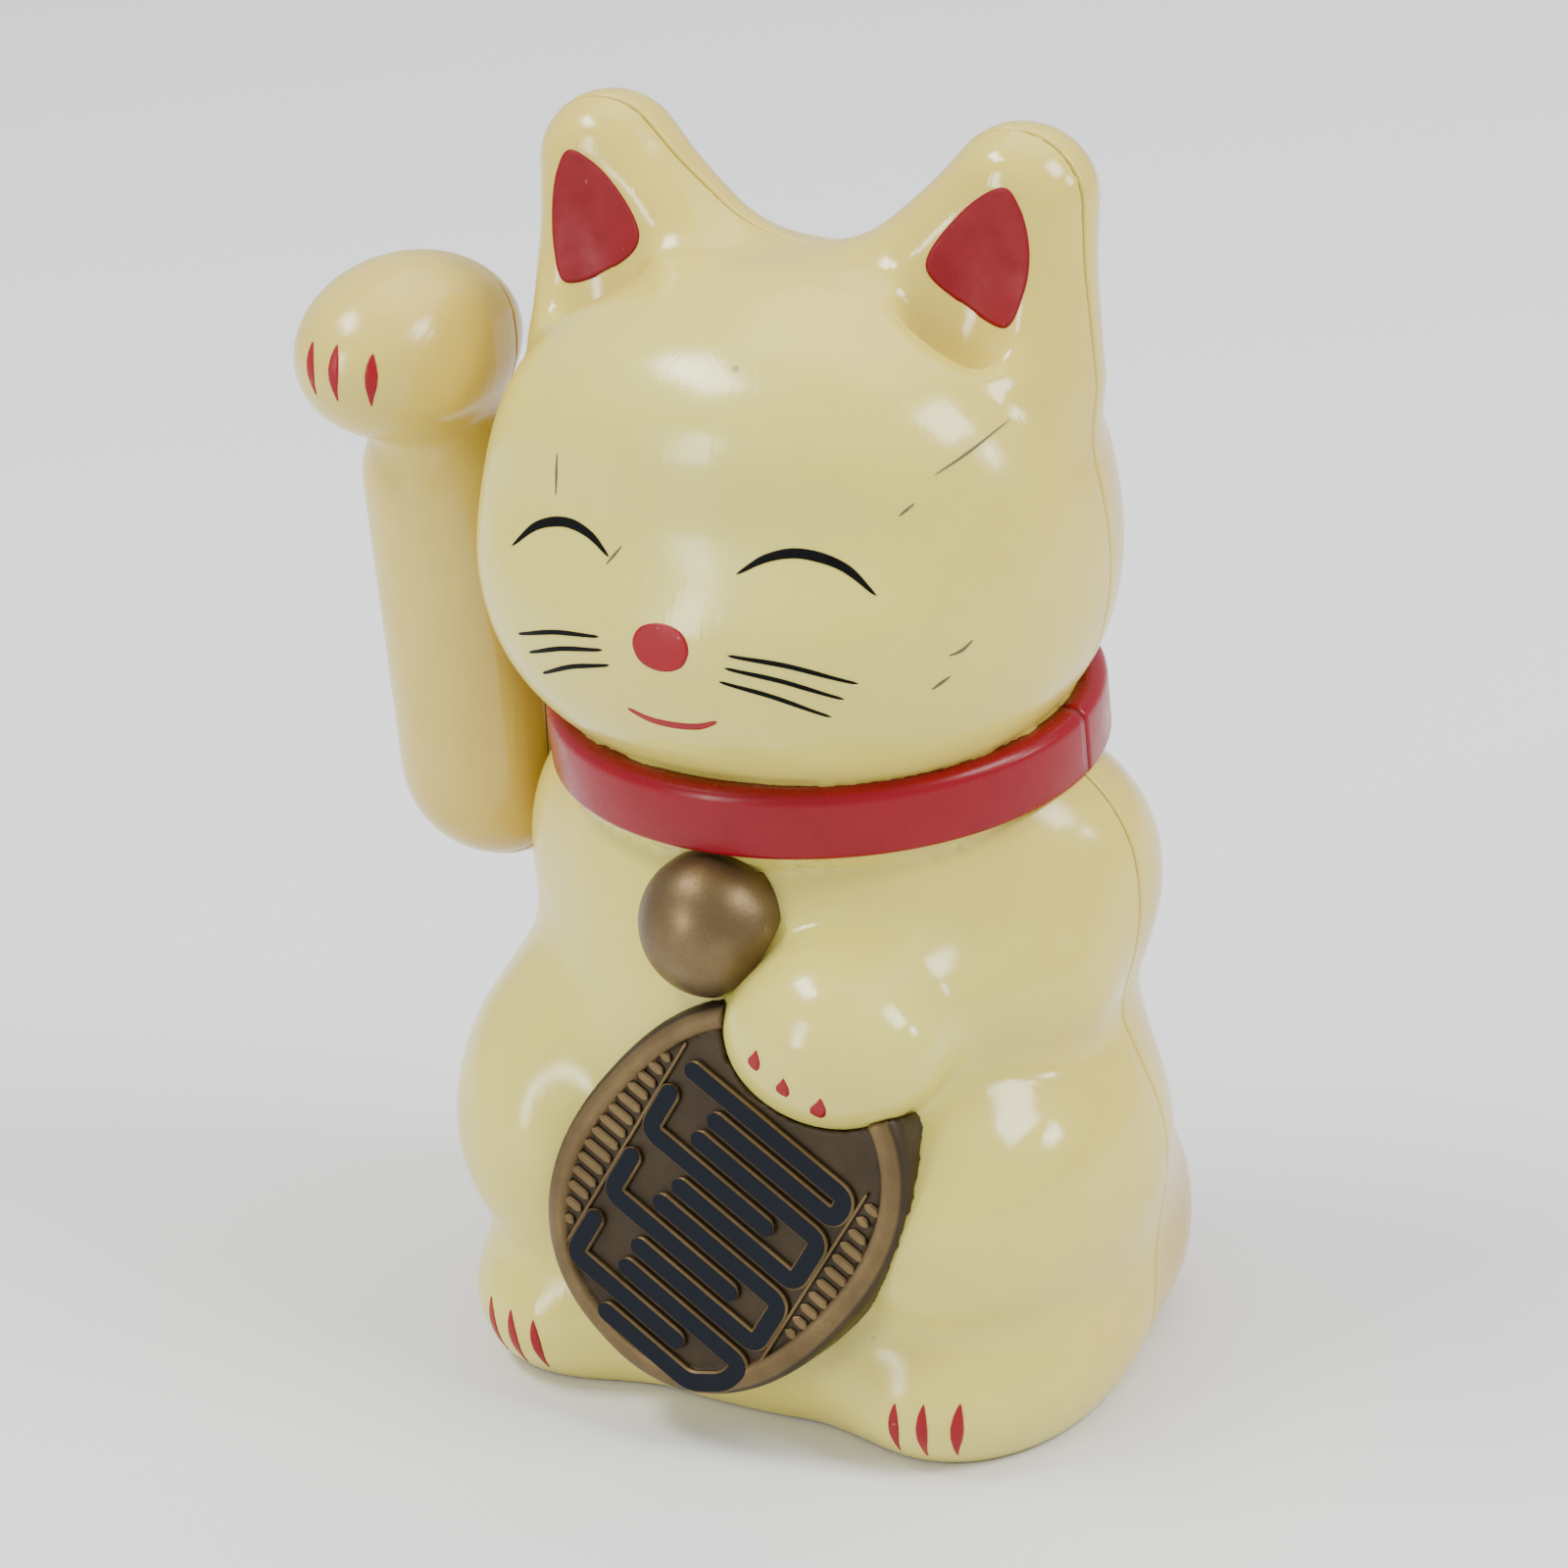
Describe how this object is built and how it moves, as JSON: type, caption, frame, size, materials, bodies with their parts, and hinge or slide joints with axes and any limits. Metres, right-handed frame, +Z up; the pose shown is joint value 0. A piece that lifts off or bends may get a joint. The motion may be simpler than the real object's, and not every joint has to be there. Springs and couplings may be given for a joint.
{
  "type": "beckoning cat figurine",
  "caption": "Hollow moulded cat figurine, seated, with one raised paw that swings on a shaft under coil and battery drive, a collar, a bell and an oval coin held by the other paw.",
  "frame": {"origin": "centre of the base on the table plane, on the casing's parting plane", "axes": "+Z up, -Y the way the cat looks, +X to the cat's own left"},
  "size_m": [0.1085, 0.0788, 0.1523],
  "materials": {
    "cream_plastic": "gloss",
    "arm_cream_plastic": "gloss",
    "collar_red": "gloss",
    "bell_bronze": "satin",
    "coin_gold": "satin",
    "base_cream": "satin",
    "dark_plastic": "matte",
    "white_nylon": "satin",
    "zinc_steel": "satin",
    "weight_iron": "satin",
    "copper_wire": "satin",
    "board_green": "satin",
    "cell_wrap": "satin",
    "wire_red": "satin",
    "wire_black": "satin"
  },
  "bodies": {
    "casing": {"front_shell": "cream_plastic", "rear_shell": "cream_plastic", "collar_front": "collar_red", "collar_rear": "collar_red", "bell": "bell_bronze", "koban": "coin_gold", "base_plate": "base_cream", "base_screws": "zinc_steel", "battery": "cell_wrap", "battery_spring": "zinc_steel", "positive_contact": "zinc_steel", "negative_contact": "zinc_steel", "battery_lead": "wire_red", "switch_lead": "wire_black", "switch_body": "dark_plastic", "circuit_board": "board_green", "board_screws": "zinc_steel", "coil_bobbin": "white_nylon", "coil_winding": "copper_wire", "coil_core": "zinc_steel", "transistor": "dark_plastic", "capacitor": "dark_plastic", "mechanism_frame": "white_nylon", "frame_screws": "zinc_steel", "outer_bearing": "white_nylon", "inner_bearing": "white_nylon"},
    "beckoning_arm": {"arm_front_half": "arm_cream_plastic", "arm_rear_half": "arm_cream_plastic", "arm_hub": "white_nylon", "pivot_shaft": "zinc_steel", "shoulder_washer": "white_nylon", "shaft_clip": "zinc_steel", "pendulum": "white_nylon", "pendulum_weight": "weight_iron", "pendulum_magnet": "weight_iron"},
    "battery_door": {"battery_door": "base_cream"},
    "switch_slider": {"switch_slider": "dark_plastic"}
  },
  "joints": [
    {"name": "arm_swing", "type": "hinge", "parent": "casing", "child": "beckoning_arm", "pos_m": [0, 0.006, 0.065], "axis": [1, 0, 0], "range_deg": [-18, 18]},
    {"name": "battery_door_lift", "type": "slide", "parent": "casing", "child": "battery_door", "axis": [0, 0, -1], "range_m": [0, 0.03]},
    {"name": "switch_slide", "type": "slide", "parent": "casing", "child": "switch_slider", "axis": [1, 0, 0], "range_m": [0, 0.003]}
  ]
}
